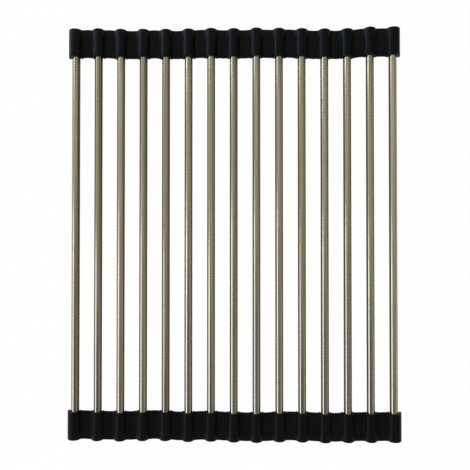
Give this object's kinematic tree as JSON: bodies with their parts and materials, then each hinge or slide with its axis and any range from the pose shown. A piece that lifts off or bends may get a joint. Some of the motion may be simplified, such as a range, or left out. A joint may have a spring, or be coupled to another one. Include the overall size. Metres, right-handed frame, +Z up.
{
  "type": "roll-up dish drying rack",
  "caption": "Flat drying rack of parallel steel tubes gripped by two flexible silicone end strips; it lies across a sink and rolls up for storage.",
  "frame": {"origin": "on the resting plane, under the middle of the rack as it lies flat", "axes": "+X across the rods, from the slat that stays down to the free end that rolls up first; +Y along the rods, towards the back strip; +Z up"},
  "size_m": [0.337, 0.418, 0.0116],
  "materials": {
    "silicone": "matte",
    "steel": "satin"
  },
  "bodies": {
    "slat_01": {"rod_01": "steel", "sleeve_pair_01": "silicone", "web_pair_01": "silicone"},
    "slat_02": {"rod_02": "steel", "sleeve_pair_02": "silicone", "web_pair_02": "silicone"},
    "slat_03": {"rod_03": "steel", "sleeve_pair_03": "silicone", "web_pair_03": "silicone"},
    "slat_04": {"rod_04": "steel", "sleeve_pair_04": "silicone", "web_pair_04": "silicone"},
    "slat_05": {"rod_05": "steel", "sleeve_pair_05": "silicone", "web_pair_05": "silicone"},
    "slat_06": {"rod_06": "steel", "sleeve_pair_06": "silicone", "web_pair_06": "silicone"},
    "slat_07": {"rod_07": "steel", "sleeve_pair_07": "silicone", "web_pair_07": "silicone"},
    "slat_08": {"rod_08": "steel", "sleeve_pair_08": "silicone", "web_pair_08": "silicone"},
    "slat_09": {"rod_09": "steel", "sleeve_pair_09": "silicone", "web_pair_09": "silicone"},
    "slat_10": {"rod_10": "steel", "sleeve_pair_10": "silicone", "web_pair_10": "silicone"},
    "slat_11": {"rod_11": "steel", "sleeve_pair_11": "silicone", "web_pair_11": "silicone"},
    "slat_12": {"rod_12": "steel", "sleeve_pair_12": "silicone", "web_pair_12": "silicone"},
    "slat_13": {"rod_13": "steel", "sleeve_pair_13": "silicone", "web_pair_13": "silicone"},
    "slat_14": {"rod_14": "steel", "sleeve_pair_14": "silicone", "web_pair_14": "silicone"},
    "slat_15": {"rod_15": "steel", "sleeve_pair_15": "silicone"}
  },
  "joints": [
    {"name": "web_hinge_01", "type": "hinge", "parent": "slat_01", "child": "slat_02", "pos_m": [-0.1495, 0, 0.0056], "axis": [0, -1, 0], "range_deg": [0, 34], "deforming": ["web_pair_01"]},
    {"name": "web_hinge_02", "type": "hinge", "parent": "slat_02", "child": "slat_03", "pos_m": [-0.1265, 0, 0.0056], "axis": [0, -1, 0], "range_deg": [0, 34.08], "deforming": ["web_pair_02"]},
    {"name": "web_hinge_03", "type": "hinge", "parent": "slat_03", "child": "slat_04", "pos_m": [-0.1035, 0, 0.0056], "axis": [0, -1, 0], "range_deg": [0, 34.43], "deforming": ["web_pair_03"]},
    {"name": "web_hinge_04", "type": "hinge", "parent": "slat_04", "child": "slat_05", "pos_m": [-0.0805, 0, 0.0056], "axis": [0, -1, 0], "range_deg": [0, 35.18], "deforming": ["web_pair_04"]},
    {"name": "web_hinge_05", "type": "hinge", "parent": "slat_05", "child": "slat_06", "pos_m": [-0.0575, 0, 0.0056], "axis": [0, -1, 0], "range_deg": [0, 36.42], "deforming": ["web_pair_05"]},
    {"name": "web_hinge_06", "type": "hinge", "parent": "slat_06", "child": "slat_07", "pos_m": [-0.0345, 0, 0.0056], "axis": [0, -1, 0], "range_deg": [0, 38.23], "deforming": ["web_pair_06"]},
    {"name": "web_hinge_07", "type": "hinge", "parent": "slat_07", "child": "slat_08", "pos_m": [-0.0115, 0, 0.0056], "axis": [0, -1, 0], "range_deg": [0, 40.66], "deforming": ["web_pair_07"]},
    {"name": "web_hinge_08", "type": "hinge", "parent": "slat_08", "child": "slat_09", "pos_m": [0.0115, 0, 0.0056], "axis": [0, -1, 0], "range_deg": [0, 43.79], "deforming": ["web_pair_08"]},
    {"name": "web_hinge_09", "type": "hinge", "parent": "slat_09", "child": "slat_10", "pos_m": [0.0345, 0, 0.0056], "axis": [0, -1, 0], "range_deg": [0, 47.67], "deforming": ["web_pair_09"]},
    {"name": "web_hinge_10", "type": "hinge", "parent": "slat_10", "child": "slat_11", "pos_m": [0.0575, 0, 0.0056], "axis": [0, -1, 0], "range_deg": [0, 52.35], "deforming": ["web_pair_10"]},
    {"name": "web_hinge_11", "type": "hinge", "parent": "slat_11", "child": "slat_12", "pos_m": [0.0805, 0, 0.0056], "axis": [0, -1, 0], "range_deg": [0, 57.88], "deforming": ["web_pair_11"]},
    {"name": "web_hinge_12", "type": "hinge", "parent": "slat_12", "child": "slat_13", "pos_m": [0.1035, 0, 0.0056], "axis": [0, -1, 0], "range_deg": [0, 64.3], "deforming": ["web_pair_12"]},
    {"name": "web_hinge_13", "type": "hinge", "parent": "slat_13", "child": "slat_14", "pos_m": [0.1265, 0, 0.0056], "axis": [0, -1, 0], "range_deg": [0, 71.66], "deforming": ["web_pair_13"]},
    {"name": "web_hinge_14", "type": "hinge", "parent": "slat_14", "child": "slat_15", "pos_m": [0.1495, 0, 0.0056], "axis": [0, -1, 0], "range_deg": [0, 80], "deforming": ["web_pair_14"]}
  ],
  "couplings": [
    {"joint": "web_hinge_01", "follows": "web_hinge_14", "ratio": 0.425},
    {"joint": "web_hinge_02", "follows": "web_hinge_14", "ratio": 0.4259},
    {"joint": "web_hinge_03", "follows": "web_hinge_14", "ratio": 0.4303},
    {"joint": "web_hinge_04", "follows": "web_hinge_14", "ratio": 0.4397},
    {"joint": "web_hinge_05", "follows": "web_hinge_14", "ratio": 0.4552},
    {"joint": "web_hinge_06", "follows": "web_hinge_14", "ratio": 0.4778},
    {"joint": "web_hinge_07", "follows": "web_hinge_14", "ratio": 0.5082},
    {"joint": "web_hinge_08", "follows": "web_hinge_14", "ratio": 0.5473},
    {"joint": "web_hinge_09", "follows": "web_hinge_14", "ratio": 0.5958},
    {"joint": "web_hinge_10", "follows": "web_hinge_14", "ratio": 0.6543},
    {"joint": "web_hinge_11", "follows": "web_hinge_14", "ratio": 0.7234},
    {"joint": "web_hinge_12", "follows": "web_hinge_14", "ratio": 0.8037},
    {"joint": "web_hinge_13", "follows": "web_hinge_14", "ratio": 0.8957}
  ]
}
